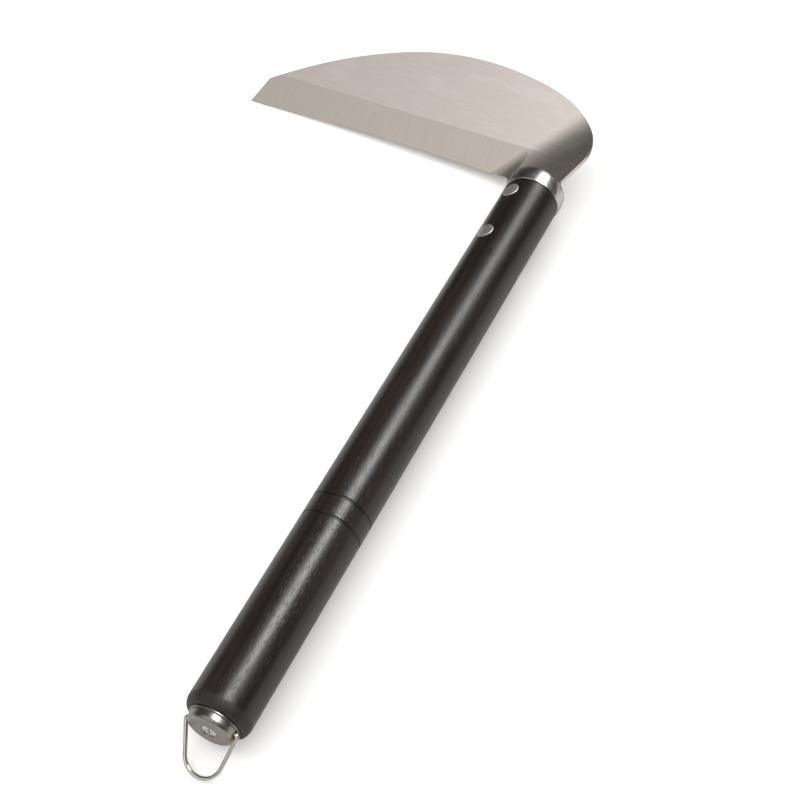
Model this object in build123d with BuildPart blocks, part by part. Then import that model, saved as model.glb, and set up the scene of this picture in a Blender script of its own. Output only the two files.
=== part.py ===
"""Hand weeding sickle: a twisted steel blade riveted into a round wooden handle.

The handle lies along +Y with the butt nearest to -Y, and the tool rests on the plane Z = 0 on its handle
and on the tip of its blade.  Every size is in millimetres.
"""

import os
from math import acos, degrees, radians, tan

from build123d import *

os.makedirs("parts", exist_ok=True)

# ---------------------------------------------------------------- placing
axis_x = 80.59  # the handle's centre line in X
butt_y = -190.26  # the butt end of the wood in Y

# ---------------------------------------------------------------- handle
grip_radius = 15.0
wood_length = 331.0
butt_round = 5.0  # length of the turned, rounded end at the butt
butt_radius = 12.4  # the flat left in the middle of the butt
head_edge = 0.5  # rounded edge of the wood below the ferrule
groove_places = (101.6, 112.6)  # centres of the two turned grooves, from the butt
groove_radius = 1.0
groove_depth = 0.45
spigot_radius = 13.4  # reduced end of the wood that the ferrule fits over
spigot_length = 9.4
pilot_depth = 26.0  # hole for the screw at the butt

# ---------------------------------------------------------------- ferrule
ferrule_length = 11.0
ferrule_radius = 15.7  # at the fullest part of its swollen side
ferrule_foot_radius = 15.2
ferrule_rim_radius = 15.2
ferrule_crown = 1.8  # how far the top rises from its rim to the middle
ferrule_rim_round = 0.7
ferrule_foot_round = 0.3
ferrule_lift = 0.1  # gap between the wood's shoulder and the ferrule

# ---------------------------------------------------------------- blade
sheet = 2.0
neck_tilt = 34.0  # the neck's plate, turned about the handle from level
blade_lean = 30.0  # the blade, leaning back from level about its edge
edge_climb = 2.15  # the cutting edge, rising from the tip to the heel
tip_out = 179.8  # the tip, sideways from the handle's centre line
tip_along = 349.4  # the tip, along the handle from the butt
bend_radius = 36.0  # on the hollow side of the bend
strip_half = 165.0  # the bent strip before it is trimmed
neck_reach = 60.0
blade_reach = 150.0
edge_length = 152.5  # the outline, seen square to the middle of the bend
edge_hollow = 1.6
tip_corner = (7.6, 14.6)
spine_points = [(28.3, 27.3), (65.0, 45.0), (97.4, 54.7), (128.0, 57.4), (156.0, 54.3), (178.0, 46.6)]
crown_points = [(189.7, 35.6), (194.6, 24.0)]
neck_side = (194.9, 12.8)
neck_foot_right = (188.3, -6.5)
neck_foot_left = (160.5, -8.0)
corner_round = 3.0

bevel_width = 19.0
edge_land = 0.3  # thickness left at the cutting edge
bevel_over = 3.0  # the ground wedge runs past the edge
bevel_above = 1.0  # and above the face
bevel_end = 190.0
runout_radius = 18.0  # the grinding wheel lifts away inside the bend along this curve
runout_turn = 60.0

tang_width = 18.0
tang_end_width = 14.0
tang_end = 277.0  # from the butt
tang_play = 0.05

# ---------------------------------------------------------------- rivets
rivet_places = {"rear_rivet": 289.5, "front_rivet": 321.7}
rivet_radius = 2.5
rivet_head_radius = 4.5
rivet_head_depth = 2.6
rivet_proud = 0.45
rivet_edge = 0.3
rivet_play = 0.03

# ---------------------------------------------------------------- end cap, screw and bail
cap_flange_radius = 11.7
cap_flange = 0.9
cap_radius = 10.9
cap_length = 5.2
cap_wall = 1.0
cap_round = 1.9
screw_head_radius = 3.35
screw_shank_radius = 1.75
screw_head_depth = 1.9
screw_length = 23.0  # from the butt of the wood
screw_point = 4.0
screw_sink = 0.5  # the head sits this far below the cap's face
screw_play = 0.04
recess_span = 3.8
recess_slot = 0.85
recess_depth = 1.2

bail_turn = 8.4  # the bail's pivot line, turned about the handle from level
bail_droop = 40.0  # the bail at rest, below the handle's line
bail_from_butt = 2.2
wire_radius = 0.95
bail_hole_radius = 1.35
bail_shift = -0.1  # the bail hangs a little to one side in its loose holes
bail_half_width = 12.6
bail_end = 8.4  # where the turned-in ends of the wire stop
bail_corner = 1.15
bail_arc_radius = 9.0
bail_length = 22.1

# ---------------------------------------------------------------- frames
butt_centre = Vector(axis_x, butt_y, ferrule_radius)
handle_axis = Axis(butt_centre, (0, 1, 0))
turning = Plane(origin=butt_centre, x_dir=(0, 1, 0), z_dir=(0, 0, 1))

neck_across = Vector(1, 0, 0).rotate(Axis.Y, -neck_tilt)
neck_up = Vector(0, 0, 1).rotate(Axis.Y, -neck_tilt)
neck_plane = Plane(origin=butt_centre, x_dir=neck_across, z_dir=neck_up)

tip = Vector(axis_x - tip_out, butt_y + tip_along, 0)
edge_way = Vector(1, 0, 0).rotate(Axis.Y, -edge_climb)
blade_up = Vector(0, 0, 1).rotate(Axis.Y, -edge_climb).rotate(Axis((0, 0, 0), edge_way), blade_lean)
blade_plane = Plane(origin=tip, x_dir=edge_way, z_dir=blade_up)
blade_back = blade_plane.y_dir

bend_way = neck_up.cross(blade_up).normalized()
bend_angle = neck_up.get_angle(blade_up)
into_bend = blade_up.cross(bend_way)
neck_top = butt_centre + neck_up * (sheet / 2)
blade_top = tip + blade_up * sheet
bend_foot = blade_top + into_bend * ((neck_top - blade_top).dot(neck_up) / into_bend.dot(neck_up))
bend_section = Plane(origin=bend_foot, x_dir=bend_way.cross(neck_up), z_dir=-bend_way)
mid_up = (neck_up + blade_up).normalized()
trim_plane = Plane(origin=tip, x_dir=edge_way, z_dir=mid_up)


def across(distance):
    """A plane square to the handle, this far along it from the butt."""
    return Plane(origin=butt_centre + Vector(0, distance, 0), x_dir=(1, 0, 0), z_dir=(0, 1, 0))


# ---------------------------------------------------------------- the wooden handle
head_radius = rivet_head_radius + rivet_play

with BuildPart() as handle:
    with BuildSketch(turning):
        with BuildLine():
            EllipticalCenterArc(
                (butt_round, butt_radius),
                butt_round,
                grip_radius - butt_radius,
                start_angle=90,
                arc_size=90,
            )
            Polyline(
                (0, butt_radius),
                (0, 0),
                (wood_length + spigot_length, 0),
                (wood_length + spigot_length, spigot_radius),
                (wood_length, spigot_radius),
                (wood_length, grip_radius),
                (butt_round, grip_radius),
            )
        make_face()
        with Locations(*[(place, grip_radius + groove_radius - groove_depth) for place in groove_places]):
            Circle(groove_radius, mode=Mode.SUBTRACT)
    revolve(axis=handle_axis)
    shoulder = [ring for ring in handle.edges().filter_by(GeomType.CIRCLE)
                if abs(ring.radius - grip_radius) < 0.01
                and abs(ring.center().Y - butt_y - wood_length) < 0.01]
    fillet(shoulder, radius=head_edge)
    with BuildSketch(neck_plane):
        with Locations((0, tang_end - tang_play)):
            Rectangle(
                tang_width + 2 * tang_play,
                wood_length,
                align=(Align.CENTER, Align.MIN),
            )
    extrude(amount=sheet / 2 + tang_play, both=True, mode=Mode.SUBTRACT)
    with BuildSketch(neck_plane):
        with Locations(*[(0, place) for place in rivet_places.values()]):
            Circle(rivet_radius + rivet_play)
    extrude(amount=2 * grip_radius, both=True, mode=Mode.SUBTRACT)
    for side in (1, -1):
        with BuildSketch(neck_plane.offset(side * (grip_radius - rivet_head_depth))):
            with Locations(*[(0, place) for place in rivet_places.values()]):
                Circle(head_radius)
        extrude(amount=side * grip_radius, mode=Mode.SUBTRACT)
    with BuildSketch(across(0)):
        Circle(screw_shank_radius + screw_play)
    extrude(amount=pilot_depth, mode=Mode.SUBTRACT)
handle.part.label = "handle"

# ---------------------------------------------------------------- the domed steel ferrule
ferrule_foot = wood_length + ferrule_lift
ferrule_top = wood_length + ferrule_length

ferrule_rim = ferrule_top - ferrule_crown
ferrule_bore = spigot_radius + tang_play
ferrule_seat = wood_length + spigot_length + tang_play

with BuildPart() as ferrule:
    with BuildSketch(turning):
        with BuildLine():
            Polyline(
                (ferrule_top, 0),
                (ferrule_seat, 0),
                (ferrule_seat, ferrule_bore),
                (ferrule_foot, ferrule_bore),
                (ferrule_foot, ferrule_foot_radius),
            )
            ThreePointArc(
                (ferrule_foot, ferrule_foot_radius),
                ((ferrule_foot + ferrule_rim) / 2, ferrule_radius),
                (ferrule_rim, ferrule_rim_radius),
            )
            RadiusArc(
                (ferrule_rim, ferrule_rim_radius),
                (ferrule_top, 0),
                (ferrule_rim_radius**2 + ferrule_crown**2) / (2 * ferrule_crown),
            )
        make_face()
        fillet(vertices().sort_by_distance((ferrule_rim, ferrule_rim_radius))[:1], radius=ferrule_rim_round)
        fillet(vertices().sort_by_distance((ferrule_foot, ferrule_foot_radius))[:1], radius=ferrule_foot_round)
    revolve(axis=handle_axis)
    with BuildSketch(neck_plane):
        with Locations((0, ferrule_top)):
            Rectangle(tang_width + 2 * tang_play, 2 * ferrule_length)
    extrude(amount=sheet / 2 + tang_play, both=True, mode=Mode.SUBTRACT)
ferrule.part.label = "ferrule"

# ---------------------------------------------------------------- the blade, its neck and its tang
bend_start = bend_foot + into_bend * (bend_radius * tan(radians(bend_angle / 2)))
flat_end = Plane(origin=bend_start, x_dir=bend_way, z_dir=-into_bend)
bend_skew = bend_way.dot(blade_back)
start_depth = (bend_start - tip).dot(blade_back)
bevel_climb = (sheet - edge_land) / bevel_width
wedge_top = sheet + bevel_above
wedge_corners = [
    (-bevel_over, edge_land - bevel_climb * bevel_over),
    (bevel_width + bevel_above / bevel_climb, wedge_top),
    (-bevel_over, wedge_top),
]
wedge_corners_at_bend = [((depth - start_depth) / bend_skew, height - sheet) for depth, height in wedge_corners]

# the metal ground away from the sheet to make the bevel
with BuildPart() as ground_away:
    with BuildSketch(Plane(origin=tip - edge_way * bevel_over, x_dir=blade_back, z_dir=edge_way)):
        with BuildLine():
            Polyline(*wedge_corners, close=True)
        make_face()
    extrude(amount=bevel_end + bevel_over)
    split(bisect_by=flat_end, keep=Keep.BOTTOM)
    with BuildSketch(flat_end):
        with BuildLine():
            Polyline(*wedge_corners_at_bend, close=True)
        make_face()
    revolve(axis=Axis(bend_start + blade_up * runout_radius, -bend_way), revolution_arc=runout_turn)

with BuildPart() as blade:
    with BuildSketch(bend_section):
        with BuildLine():
            leg = Vector(-1, 0, 0).rotate(Axis.Z, -bend_angle) * blade_reach
            FilletPolyline((neck_reach, 0), (0, 0), (leg.X, leg.Y), radius=bend_radius)
            offset(amount=sheet, side=Side.LEFT)
        make_face()
    extrude(amount=strip_half, both=True)
    with BuildSketch(trim_plane):
        with BuildLine():
            ThreePointArc((0, 0), (edge_length / 2, edge_hollow), (edge_length, 0))
            Line((0, 0), tip_corner)
            spine_start = Vector(*spine_points[0]) - Vector(*tip_corner)
            side_run = Vector(*neck_foot_right) - Vector(*neck_side)
            Spline(
                tip_corner,
                *spine_points,
                *crown_points,
                neck_side,
                tangents=(spine_start.normalized(), side_run.normalized()),
            )
            Polyline(neck_side, neck_foot_right, neck_foot_left, (edge_length, 0))
        make_face()
        fillet(vertices().sort_by_distance(tip_corner)[:1], radius=corner_round)
    extrude(amount=strip_half, both=True, mode=Mode.INTERSECT)
    split(bisect_by=across(ferrule_top), keep=Keep.TOP)
    add(ground_away.part, mode=Mode.SUBTRACT)
    with BuildSketch(neck_plane):
        with BuildLine():
            Polyline(
                (-tang_width / 2, ferrule_top + sheet),
                (-tang_width / 2, wood_length),
                (-tang_end_width / 2, tang_end),
                (tang_end_width / 2, tang_end),
                (tang_width / 2, wood_length),
                (tang_width / 2, ferrule_top + sheet),
                close=True,
            )
        make_face()
        with Locations(*[(0, place) for place in rivet_places.values()]):
            Circle(rivet_radius + rivet_play, mode=Mode.SUBTRACT)
    extrude(amount=sheet / 2, both=True)
blade.part.label = "blade"

# ---------------------------------------------------------------- the two rivets
rivets = []
for name, place in rivet_places.items():
    with BuildPart() as rivet:
        with BuildSketch(neck_plane):
            with Locations((0, place)):
                Circle(rivet_radius)
        extrude(amount=grip_radius, both=True)
        for side in (1, -1):
            with BuildSketch(neck_plane.offset(side * (grip_radius - rivet_head_depth))):
                with Locations((0, place)):
                    Circle(rivet_head_radius)
            extrude(amount=side * grip_radius)
        with BuildSketch(across(0)):
            Circle(grip_radius + rivet_proud)
        extrude(amount=wood_length, mode=Mode.INTERSECT)
        crowns = rivet.faces().sort_by(Axis(butt_centre, neck_up))
        fillet([*crowns[0].edges(), *crowns[-1].edges()], radius=rivet_edge)
    rivet.part.label = name
    rivets.append(rivet)

# ---------------------------------------------------------------- the pressed end cap
bail_across = Vector(1, 0, 0).rotate(Axis.Y, -bail_turn)
bail_centre = butt_centre - Vector(0, bail_from_butt, 0)

head_face = screw_sink - cap_length
head_slope = (screw_head_radius - screw_shank_radius) / screw_head_depth
dimple_radius = screw_head_radius + screw_play + screw_sink * head_slope
dimple_foot = head_face + screw_head_depth

with BuildPart() as end_cap:
    with BuildSketch(turning):
        with BuildLine():
            Polyline(
                (0, cap_radius - cap_wall),
                (0, cap_flange_radius),
                (-cap_flange, cap_flange_radius),
                (-cap_flange, cap_radius),
                (-cap_length, cap_radius),
                (-cap_length, dimple_radius),
                (dimple_foot, screw_shank_radius + screw_play),
                (dimple_foot + cap_wall / 2, screw_shank_radius + screw_play),
                (dimple_foot + cap_wall / 2, screw_shank_radius + cap_wall),
                (cap_wall - cap_length, dimple_radius + cap_wall / 2),
                (cap_wall - cap_length, cap_radius - cap_wall),
                close=True,
            )
        make_face()
        rim = vertices().sort_by_distance((-cap_length, cap_radius))[:1]
        fillet(rim, radius=cap_round)
        inner_rim = vertices().sort_by_distance((cap_wall - cap_length, cap_radius - cap_wall))[:1]
        fillet(inner_rim, radius=cap_round - cap_wall)
        flange_rim = vertices().sort_by_distance((-cap_flange, cap_flange_radius))[:1]
        fillet(flange_rim, radius=cap_flange / 3)
    revolve(axis=handle_axis)
    with BuildSketch(Plane(origin=bail_centre, x_dir=(0, 1, 0), z_dir=bail_across)):
        Circle(bail_hole_radius)
    extrude(amount=cap_flange_radius, both=True, mode=Mode.SUBTRACT)
end_cap.part.label = "end_cap"

# ---------------------------------------------------------------- the screw that holds the cap
with BuildPart() as cap_screw:
    with BuildSketch(turning):
        with BuildLine():
            Polyline(
                (head_face, 0),
                (head_face, screw_head_radius),
                (dimple_foot, screw_shank_radius),
                (screw_length - screw_point, screw_shank_radius),
                (screw_length, 0),
                close=True,
            )
        make_face()
    revolve(axis=handle_axis)
    with BuildSketch(across(head_face)):
        for turn in (0, 90):
            with Locations(Location((0, 0), turn)):
                Rectangle(recess_span, recess_slot)
    extrude(amount=recess_depth, mode=Mode.SUBTRACT)
cap_screw.part.label = "cap_screw"

# ---------------------------------------------------------------- the wire bail
bail_way = Vector(0, -1, 0).rotate(Axis((0, 0, 0), bail_across), bail_droop)
bail_middle = bail_centre + bail_across * bail_shift
bail_plane = Plane(origin=bail_middle, x_dir=bail_across, z_dir=bail_across.cross(bail_way))
arc_middle = bail_length - bail_arc_radius

leg_foot = Vector(bail_half_width, 0)
from_middle = leg_foot - Vector(0, arc_middle)
leg_turn = degrees(acos(bail_arc_radius / from_middle.length))
leg_top = Vector(0, arc_middle) + from_middle.normalized().rotate(Axis.Z, leg_turn) * bail_arc_radius

with BuildPart() as hanging_bail:
    with BuildLine(bail_plane) as wire:
        for side in (-1, 1):
            FilletPolyline(
                (side * bail_end, 0),
                (side * leg_foot.X, 0),
                (side * leg_top.X, leg_top.Y),
                radius=bail_corner,
            )
        ThreePointArc((-leg_top.X, leg_top.Y), (0, bail_length), (leg_top.X, leg_top.Y))
    wire_path = wire.wires()[0]
    with BuildSketch(Plane(origin=wire_path @ 0, z_dir=wire_path % 0)):
        Circle(wire_radius)
    sweep(path=wire_path)
hanging_bail.part.label = "hanging_bail"

# ---------------------------------------------------------------- writing
for piece in (handle, ferrule, blade, *rivets, end_cap, cap_screw, hanging_bail):
    export_step(piece.part, f"parts/{piece.part.label}.step")
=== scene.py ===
"""The looks of the hand sickle: its materials, studio light and camera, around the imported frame.

Lengths are in metres.  The handle lies along +Y, the blade stands out towards -X, and the tool rests
on Z = 0.
"""

import math

import bpy
from mathutils import Matrix, Vector


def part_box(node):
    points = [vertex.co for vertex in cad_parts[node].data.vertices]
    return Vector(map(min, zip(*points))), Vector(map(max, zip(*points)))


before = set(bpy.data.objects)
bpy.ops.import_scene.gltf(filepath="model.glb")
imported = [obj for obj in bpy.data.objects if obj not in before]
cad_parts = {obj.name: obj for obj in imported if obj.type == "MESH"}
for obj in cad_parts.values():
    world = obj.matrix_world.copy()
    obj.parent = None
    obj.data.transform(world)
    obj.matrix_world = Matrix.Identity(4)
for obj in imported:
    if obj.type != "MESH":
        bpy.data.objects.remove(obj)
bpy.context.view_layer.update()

MM = 0.001
METAL = 1.0  # the principled shader's metallic value for bare metal

# ---------------------------------------------------------------- what the frame says
handle_low, handle_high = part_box("handle")
handle_x = (handle_low.x + handle_high.x) / 2
handle_z = (handle_low.z + handle_high.z) / 2
butt_y = handle_low.y

BLADE_LEAN = math.radians(30.0)  # the blade leans back from level about its edge
EDGE_CLIMB = math.radians(2.15)  # the cutting edge rises from the tip to the heel
BEVEL_WIDTH = 19.0 * MM
BEND_START = 148.8 * MM  # from the tip along the edge; the bend's first line leans back from here
BEND_SKEW = 0.805
GROOVES = (101.6 * MM, 112.6 * MM)  # from the butt
BUTT_ROUND = 5.0 * MM
BEVEL_FADE = (5.0 * MM, 11.0 * MM)  # past the bend's first line, where the bevel's own marks end

edge_way = Matrix.Rotation(-EDGE_CLIMB, 3, "Y") @ Vector((1, 0, 0))
blade_up = Matrix.Rotation(BLADE_LEAN, 3, edge_way) @ Matrix.Rotation(-EDGE_CLIMB, 3, "Y") @ Vector((0, 0, 1))
blade_back = blade_up.cross(edge_way)
blade_tip = min((vertex.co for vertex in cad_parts["blade"].data.vertices), key=lambda co: co.x)


# ---------------------------------------------------------------- building node trees
class Finish:
    """One material: a principled shader, and short ways to add the nodes that feed it."""

    def __init__(self, name, colour, roughness, metallic=0.0, **sockets):
        self.material = bpy.data.materials.new(name)
        self.material.use_nodes = True
        self.tree = self.material.node_tree
        self.shader = self.tree.nodes["Principled BSDF"]
        self.place = self.tree.nodes.new("ShaderNodeTexCoord").outputs["Object"]
        self.feed(self.shader.inputs["Base Color"], (*colour, 1.0))
        self.feed(self.shader.inputs["Roughness"], roughness)
        self.feed(self.shader.inputs["Metallic"], metallic)
        for socket, value in sockets.items():
            self.feed(self.shader.inputs[socket.replace("_", " ")], value)

    def feed(self, socket, value):
        if isinstance(value, bpy.types.NodeSocket):
            self.tree.links.new(value, socket)
        else:
            socket.default_value = value

    def maths(self, operation, *values):
        made = self.tree.nodes.new("ShaderNodeMath")
        made.operation = operation
        for socket, value in zip(made.inputs, values):
            self.feed(socket, value)
        return made.outputs[0]

    def along(self, point, direction, origin=(0, 0, 0)):
        """How far the point lies from the origin along a direction."""
        moved = self.tree.nodes.new("ShaderNodeVectorMath")
        moved.operation = "SUBTRACT"
        self.feed(moved.inputs[0], point)
        self.feed(moved.inputs[1], tuple(origin))
        dot = self.tree.nodes.new("ShaderNodeVectorMath")
        dot.operation = "DOT_PRODUCT"
        self.feed(dot.inputs[0], moved.outputs["Vector"])
        self.feed(dot.inputs[1], tuple(direction))
        return dot.outputs["Value"]

    def join(self, x, y, z):
        made = self.tree.nodes.new("ShaderNodeCombineXYZ")
        for socket, value in zip(made.inputs, (x, y, z)):
            self.feed(socket, value)
        return made.outputs[0]

    def noise(self, point, grain, detail=2.0, roughness=0.5):
        """Noise from 0 to 1 whose grain has this size in metres along each axis."""
        mapping = self.tree.nodes.new("ShaderNodeMapping")
        self.feed(mapping.inputs["Vector"], point)
        self.feed(mapping.inputs["Scale"], tuple(1 / size for size in grain))
        made = self.tree.nodes.new("ShaderNodeTexNoise")
        self.feed(made.inputs["Vector"], mapping.outputs["Vector"])
        self.feed(made.inputs["Scale"], 1.0)
        self.feed(made.inputs["Detail"], detail)
        self.feed(made.inputs["Roughness"], roughness)
        return made.outputs[0]

    def ramp(self, value, start, stop, low=0.0, high=1.0):
        """Takes value smoothly from low, at start, to high, at stop."""
        made = self.tree.nodes.new("ShaderNodeMapRange")
        made.interpolation_type = "SMOOTHSTEP"
        for socket, number in zip(made.inputs, (value, start, stop, low, high)):
            self.feed(socket, number)
        return made.outputs[0]

    def band(self, value, middle, half_width, soft):
        """One inside a band of values, falling softly to nothing outside it."""
        away = self.maths("ABSOLUTE", self.maths("SUBTRACT", value, middle))
        return self.ramp(away, half_width, half_width + soft, 1.0, 0.0)

    def mix(self, factor, first, second):
        made = self.tree.nodes.new("ShaderNodeMix")
        made.data_type = "RGBA"
        for index, value in ((0, factor), (6, first), (7, second)):
            if isinstance(value, tuple) and len(value) == 3:
                value = (*value, 1.0)
            self.feed(made.inputs[index], value)
        return made.outputs[2]

    def bump(self, height, depth, strength=1.0):
        made = self.tree.nodes.new("ShaderNodeBump")
        self.feed(made.inputs["Height"], height)
        self.feed(made.inputs["Distance"], depth)
        self.feed(made.inputs["Strength"], strength)
        last = self.shader.inputs["Normal"].links
        if last:
            self.feed(made.inputs["Normal"], last[0].from_socket)
        self.feed(self.shader.inputs["Normal"], made.outputs["Normal"])

    def colour(self, value):
        self.feed(self.shader.inputs["Base Color"], value)

    def roughness(self, value):
        self.feed(self.shader.inputs["Roughness"], value)

    def turned(self):
        """Distance along the handle and from its axis, for marks that run round it."""
        lengthwise = self.along(self.place, (0, 1, 0))
        across = self.along(self.place, (1, 0, 0), (handle_x, 0, 0))
        up = self.along(self.place, (0, 0, 1), (0, 0, handle_z))
        radius = self.maths("SQRT", self.maths("ADD", self.maths("MULTIPLY", across, across),
                                               self.maths("MULTIPLY", up, up)))
        return lengthwise, radius


# ---------------------------------------------------------------- materials
WOOD_DARK, WOOD_PALE = (0.0095, 0.0062, 0.0050), (0.0215, 0.0135, 0.0110)
WOOD_FIBRE, WOOD_WORN, WOOD_BLACK = (0.026, 0.018, 0.0155), (0.026, 0.016, 0.014), (0.004, 0.003, 0.0026)
FACE_DARK, FACE_PALE = (0.645, 0.59, 0.548), (0.715, 0.66, 0.615)
FACE_CLOUD, FACE_GRIT = (0.755, 0.71, 0.665), (0.60, 0.555, 0.515)
BEVEL_DARK, BEVEL_PALE = (0.53, 0.485, 0.44), (0.575, 0.53, 0.485)


def wood():
    """Near-black stained hardwood: fine lengthwise pores under a satin varnish."""
    finish = Finish("dark_wood", (0.013, 0.009, 0.0075), roughness=0.3, Specular_IOR_Level=0.38)
    point = finish.place
    figure = finish.noise(point, (3.2 * MM, 90 * MM, 3.2 * MM), detail=4.0, roughness=0.55)
    fibre = finish.noise(point, (0.4 * MM, 14 * MM, 0.4 * MM), detail=2.0, roughness=0.6)
    pores = finish.ramp(finish.noise(point, (0.5 * MM, 3.0 * MM, 0.5 * MM), detail=1.0), 0.60, 0.72)
    specks = finish.noise(point, (0.7 * MM, 1.0 * MM, 0.7 * MM), detail=2.0, roughness=0.7)
    specks = finish.ramp(specks, 0.52, 0.72)
    lengthwise = finish.along(point, (0, 1, 0))
    rounded = finish.ramp(lengthwise, butt_y + BUTT_ROUND + 0.5 * MM, butt_y + BUTT_ROUND - 1.0 * MM)
    tint = finish.mix(finish.ramp(figure, 0.35, 0.68), WOOD_DARK, WOOD_PALE)
    tint = finish.mix(finish.ramp(fibre, 0.3, 0.8, 0.0, 0.35), tint, WOOD_FIBRE)
    tint = finish.mix(finish.maths("MULTIPLY", pores, 0.5), tint, WOOD_BLACK)
    mottle = finish.noise(point, (1.1 * MM, 1.1 * MM, 1.1 * MM), detail=3.0, roughness=0.7)
    worn_end = finish.maths("MULTIPLY", rounded, finish.ramp(mottle, 0.4, 0.7))
    tint = finish.mix(worn_end, tint, WOOD_WORN)
    # Painted shade: the wood is darkened to near black in a band at each turned groove, where shade falls
    # into the groove.
    for place in GROOVES:
        painted_groove_shade = finish.band(lengthwise, butt_y + place, half_width=0.45 * MM, soft=0.3 * MM)
        tint = finish.mix(finish.maths("MULTIPLY", painted_groove_shade, 0.7), tint, WOOD_BLACK)
    finish.colour(tint)
    sheen = finish.ramp(finish.noise(point, (5 * MM, 40 * MM, 5 * MM), detail=2.0), 0.3, 0.7, 0.28, 0.34)
    dull = finish.maths("ADD", sheen, finish.maths("MULTIPLY", rounded, 0.18))
    finish.roughness(finish.maths("ADD", dull, finish.maths("MULTIPLY", pores, 0.1)))
    finish.bump(pores, depth=-0.03 * MM, strength=0.8)
    finish.bump(specks, depth=-0.025 * MM, strength=0.8)
    finish.bump(fibre, depth=0.010 * MM, strength=0.6)
    return finish.material


def blade_steel():
    """Stainless sheet brushed along the edge, with a bevel ground straight across it."""
    finish = Finish("brushed_blade_steel", (0.62, 0.585, 0.54), roughness=0.36, metallic=METAL)
    run = finish.along(finish.place, edge_way, blade_tip)
    depth = finish.along(finish.place, blade_back, blade_tip)
    height = finish.along(finish.place, blade_up, blade_tip)
    sheet = finish.join(run, depth, height)
    into_bend = finish.maths("SUBTRACT", run, finish.maths("MULTIPLY", depth, BEND_SKEW))
    flat = finish.ramp(into_bend, BEND_START + BEVEL_FADE[0], BEND_START + BEVEL_FADE[1], 1.0, 0.0)
    low = finish.ramp(depth, BEVEL_WIDTH - 0.1 * MM, BEVEL_WIDTH + 0.1 * MM, 1.0, 0.0)
    ground = finish.maths("MULTIPLY", flat, low)
    brushed = finish.noise(sheet, (13 * MM, 0.42 * MM, 2 * MM), detail=3.0, roughness=0.65)
    scratched = finish.noise(sheet, (0.45 * MM, 26 * MM, 3 * MM), detail=3.0, roughness=0.6)
    grit = finish.noise(sheet, (0.5 * MM, 0.35 * MM, 0.4 * MM), detail=2.0, roughness=0.6)
    cloud = finish.noise(sheet, (30 * MM, 9 * MM, 9 * MM), detail=3.0, roughness=0.6)
    face_tint = finish.mix(finish.ramp(brushed, 0.3, 0.7), FACE_DARK, FACE_PALE)
    face_tint = finish.mix(finish.ramp(cloud, 0.54, 0.68, 0.0, 0.5), face_tint, FACE_CLOUD)
    face_tint = finish.mix(finish.ramp(grit, 0.35, 0.75, 0.0, 0.22), face_tint, FACE_GRIT)
    bevel_tint = finish.mix(finish.ramp(scratched, 0.32, 0.68), BEVEL_DARK, BEVEL_PALE)
    finish.colour(finish.mix(ground, face_tint, bevel_tint))
    along_edge = finish.join(brushed, brushed, brushed)
    across_bevel = finish.join(scratched, scratched, scratched)
    lines = finish.mix(ground, along_edge, across_bevel)
    finish.roughness(finish.ramp(lines, 0.25, 0.75, 0.33, 0.39))
    finish.bump(lines, depth=0.005 * MM, strength=0.7)
    finish.bump(grit, depth=0.003 * MM, strength=0.6)
    return finish.material


def turned_metal(name, colour, roughness, ring, scratch_depth):
    """Metal turned or polished round the handle's axis, with fine rings and a little handling wear."""
    finish = Finish(name, colour, roughness, METAL)
    lengthwise, radius = finish.turned()
    rings = finish.noise(finish.join(lengthwise, radius, 0.0), (ring, ring, 1.0), detail=3.0, roughness=0.6)
    wear = finish.noise(finish.place, (2.6 * MM, 2.6 * MM, 2.6 * MM), detail=3.0, roughness=0.6)
    dark = tuple(0.92 * channel for channel in colour)
    finish.colour(finish.mix(finish.ramp(wear, 0.35, 0.75), colour, dark))
    worn = finish.ramp(wear, 0.3, 0.7, roughness * 0.92, roughness * 1.12)
    finish.roughness(finish.maths("ADD", worn, finish.ramp(rings, 0.3, 0.7, -0.02, 0.03)))
    finish.bump(rings, depth=scratch_depth, strength=0.8)
    return finish.material


def plated(name, colour, roughness, grain, depth):
    """Plated or ground metal with small marks of this grain."""
    finish = Finish(name, colour, roughness, METAL)
    marks = finish.noise(finish.place, grain, detail=3.0, roughness=0.65)
    dark = tuple(0.8 * channel for channel in colour)
    finish.colour(finish.mix(finish.ramp(marks, 0.4, 0.75), colour, dark))
    finish.roughness(finish.ramp(marks, 0.3, 0.7, roughness * 0.85, roughness * 1.3))
    finish.bump(marks, depth=depth, strength=0.7)
    return finish.material


def dress(node, material):
    """Gives a CAD node one material on every slot."""
    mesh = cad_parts[node].data
    mesh.materials.clear()
    mesh.materials.append(material)


dress("handle", wood())
dress("blade", blade_steel())
dress("ferrule", turned_metal("polished_ferrule_steel", (0.60, 0.575, 0.555), roughness=0.25,
                              ring=0.25 * MM, scratch_depth=0.0012 * MM))
# Painted shade: the cap's base colour is darkened well below bare nickel. It stands in for the shaded floor
# under the butt that the cap's face reflects.
dress("end_cap", turned_metal("satin_cap_painted_shade", (0.31, 0.285, 0.26), roughness=0.33,
                              ring=0.16 * MM, scratch_depth=0.002 * MM))
dress("cap_screw", plated("zinc_screw", (0.90, 0.92, 0.86), roughness=0.30,
                          grain=(0.5 * MM, 0.5 * MM, 0.5 * MM), depth=0.004 * MM))
dress("hanging_bail", plated("nickel_wire", (0.74, 0.69, 0.62), roughness=0.17,
                             grain=(0.3 * MM, 1.8 * MM, 1.8 * MM), depth=0.002 * MM))
rivet_steel = plated("ground_rivet_steel", (0.74, 0.70, 0.68), roughness=0.44,
                     grain=(0.25 * MM, 2.5 * MM, 0.25 * MM), depth=0.006 * MM)
for rivet in ("front_rivet", "rear_rivet"):
    dress(rivet, rivet_steel)


# ---------------------------------------------------------------- floor
CARD_ROUGHNESS, CARD_SPECULAR = 0.9, 0.1
FLOOR_SIZE = (6.0, 6.0)


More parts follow.
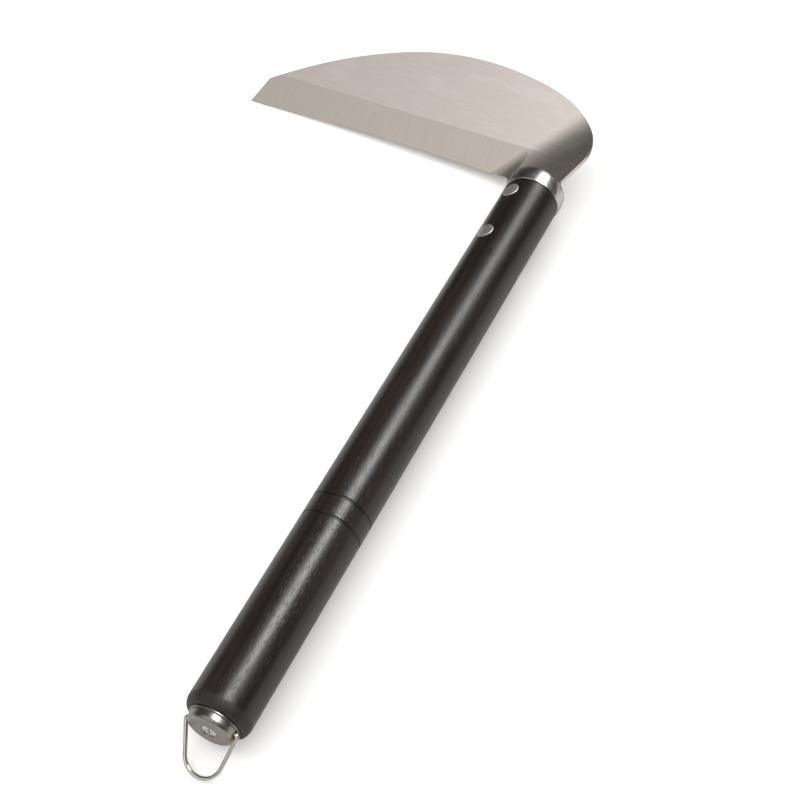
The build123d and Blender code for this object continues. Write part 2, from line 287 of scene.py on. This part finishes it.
def flat_card(name, size):
    """A rectangle of this size along X and Y, facing up."""
    half_x, half_y = size[0] / 2, size[1] / 2
    corners = [(-half_x, -half_y, 0), (half_x, -half_y, 0), (half_x, half_y, 0), (-half_x, half_y, 0)]
    mesh = bpy.data.meshes.new(name)
    mesh.from_pydata(corners, [], [(0, 1, 2, 3)])
    made = bpy.data.objects.new(name, mesh)
    bpy.context.scene.collection.objects.link(made)
    return made


def floor():
    """A plain white board under the tool."""
    board = flat_card("floor_board", FLOOR_SIZE)
    finish = Finish("white_board", (0.93, 0.93, 0.93), CARD_ROUGHNESS, Specular_IOR_Level=CARD_SPECULAR)
    mottle = finish.noise(finish.place, (60 * MM, 60 * MM, 60 * MM), detail=2.0)
    finish.colour(finish.mix(mottle, (0.92, 0.92, 0.92), (0.94, 0.94, 0.94)))
    board.data.materials.append(finish.material)


floor()


# ---------------------------------------------------------------- studio light
def turned_to(place, target, along):
    """A rotation that faces local -Z from place to target, with local X as near as can be to along."""
    back = (Vector(place) - Vector(target)).normalized()
    side = (Vector(along) - back * back.dot(Vector(along))).normalized()
    return Matrix((side, back.cross(side), back)).transposed().to_euler()


def softbox(name, place, target, size, power, along=(1, 0, 0), glossy=True, diffuse=True):
    """A rectangular soft light at place, facing target; power is in watts."""
    data = bpy.data.lights.new(name, "AREA")
    data.shape = "RECTANGLE"
    data.size, data.size_y = size
    data.energy = power
    lamp = bpy.data.objects.new(name, data)
    bpy.context.scene.collection.objects.link(lamp)
    lamp.location = place
    lamp.rotation_euler = turned_to(place, target, along)
    lamp.visible_camera = False
    lamp.visible_glossy = glossy
    lamp.visible_diffuse = diffuse


def flag(name, place, target, size, shade, along=(1, 0, 0)):
    """A dark or grey card that only reflections can see."""
    card = flat_card(name, size)
    card.location = place
    card.rotation_euler = turned_to(place, target, along)
    finish = Finish(name, (shade, shade, shade), CARD_ROUGHNESS, Specular_IOR_Level=CARD_SPECULAR)
    card.data.materials.append(finish.material)
    card.visible_camera = False
    card.visible_diffuse = False
    card.visible_shadow = False


def surroundings():
    """A room whose pale ceiling lies above and in front; the camera itself sees a white backdrop."""
    world = bpy.data.worlds.new("studio_room")
    bpy.context.scene.world = world
    world.use_nodes = True
    tree = world.node_tree
    direction = tree.nodes.new("ShaderNodeTexCoord").outputs["Generated"]
    toward = tree.nodes.new("ShaderNodeVectorMath")
    toward.operation = "DOT_PRODUCT"
    tree.links.new(direction, toward.inputs[0])
    toward.inputs[1].default_value = CEILING_WAY
    pale = tree.nodes.new("ShaderNodeMapRange")
    pale.interpolation_type = "SMOOTHSTEP"
    tree.links.new(toward.outputs["Value"], pale.inputs[0])
    for socket, value in zip(list(pale.inputs)[1:5], (DARK_TOP, CEILING_FOOT, HORIZON_LIGHT, CEILING_LIGHT)):
        socket.default_value = value
    path = tree.nodes.new("ShaderNodeLightPath")
    level = pale.outputs[0]
    for ray, light in (("Is Diffuse Ray", FILL_LIGHT), ("Is Camera Ray", BACKDROP_LIGHT)):
        pick = tree.nodes.new("ShaderNodeMix")
        tree.links.new(path.outputs[ray], pick.inputs[0])
        tree.links.new(level, pick.inputs[2])
        pick.inputs[3].default_value = light
        level = pick.outputs[0]
    tree.links.new(level, tree.nodes["Background"].inputs["Strength"])
    tree.nodes["Background"].inputs["Color"].default_value = ROOM_TINT


CEILING_WAY = Vector((-0.1, -0.6, 0.8)).normalized()
DARK_TOP, CEILING_FOOT = 0.71, 0.87  # the room turns from dark to pale between these cosines to CEILING_WAY
HORIZON_LIGHT, CEILING_LIGHT = 0.075, 0.91
FILL_LIGHT = 1.48  # what matt surfaces get from every side
BACKDROP_LIGHT = 1.0  # what the camera sees
ROOM_TINT = (1.0, 0.985, 0.965, 1.0)

surroundings()

KEY_RUN = (-0.086, 0.948, -0.303)  # the strip lights lie along the handle
DARK_CARD, GREY_CARD = 0.02, 0.62
middle = Vector((handle_x, 0.0, 0.0))
softbox("key_strip", place=(0.358, 0.61, 0.96), target=middle, size=(1.15, 0.40), power=10.5,
        along=KEY_RUN, diffuse=False)
softbox("near_strip", place=(0.389, 0.29, 1.06), target=middle, size=(0.75, 0.42), power=9.5,
        along=KEY_RUN, diffuse=False)
softbox("left_fill", place=(-0.9, -0.25, 1.2), target=(0.0, 0.0, 0.0), size=(1.1, 1.1), power=4.5,
        glossy=False)
flag("back_flag", place=(-0.14, 0.40, 0.11), target=(0.08, 0.18, 0.03), size=(0.85, 0.28),
     shade=DARK_CARD, along=(1, 1, 0))
flag("floor_flag", place=(-0.20, 0.46, 0.001), target=(-0.20, 0.46, 0.5), size=(0.76, 0.50), shade=DARK_CARD)
flag("floor_card", place=(0.0, 0.0, 0.0005), target=(0.0, 0.0, 0.5), size=(4.0, 4.0), shade=GREY_CARD)

# ---------------------------------------------------------------- camera
VIEW_TARGET = Vector((0.0712, 0.0026, 0.0))
VIEW_DISTANCE = 0.75435
VIEW_ELEVATION = math.radians(52.526)
VIEW_TURN = math.radians(25.88)
FOCAL_LENGTH, SENSOR_WIDTH = 69.75, 36.0  # in millimetres

camera = bpy.data.objects.new("camera", bpy.data.cameras.new("camera"))
bpy.context.scene.collection.objects.link(camera)
camera.data.lens = FOCAL_LENGTH
camera.data.sensor_width = SENSOR_WIDTH
camera.data.clip_start = 0.01
camera.rotation_euler = (math.pi / 2 - VIEW_ELEVATION, 0, VIEW_TURN)
camera.location = VIEW_TARGET + camera.rotation_euler.to_matrix() @ Vector((0, 0, VIEW_DISTANCE))
bpy.context.scene.camera = camera
bpy.context.scene.view_settings.view_transform = "Standard"
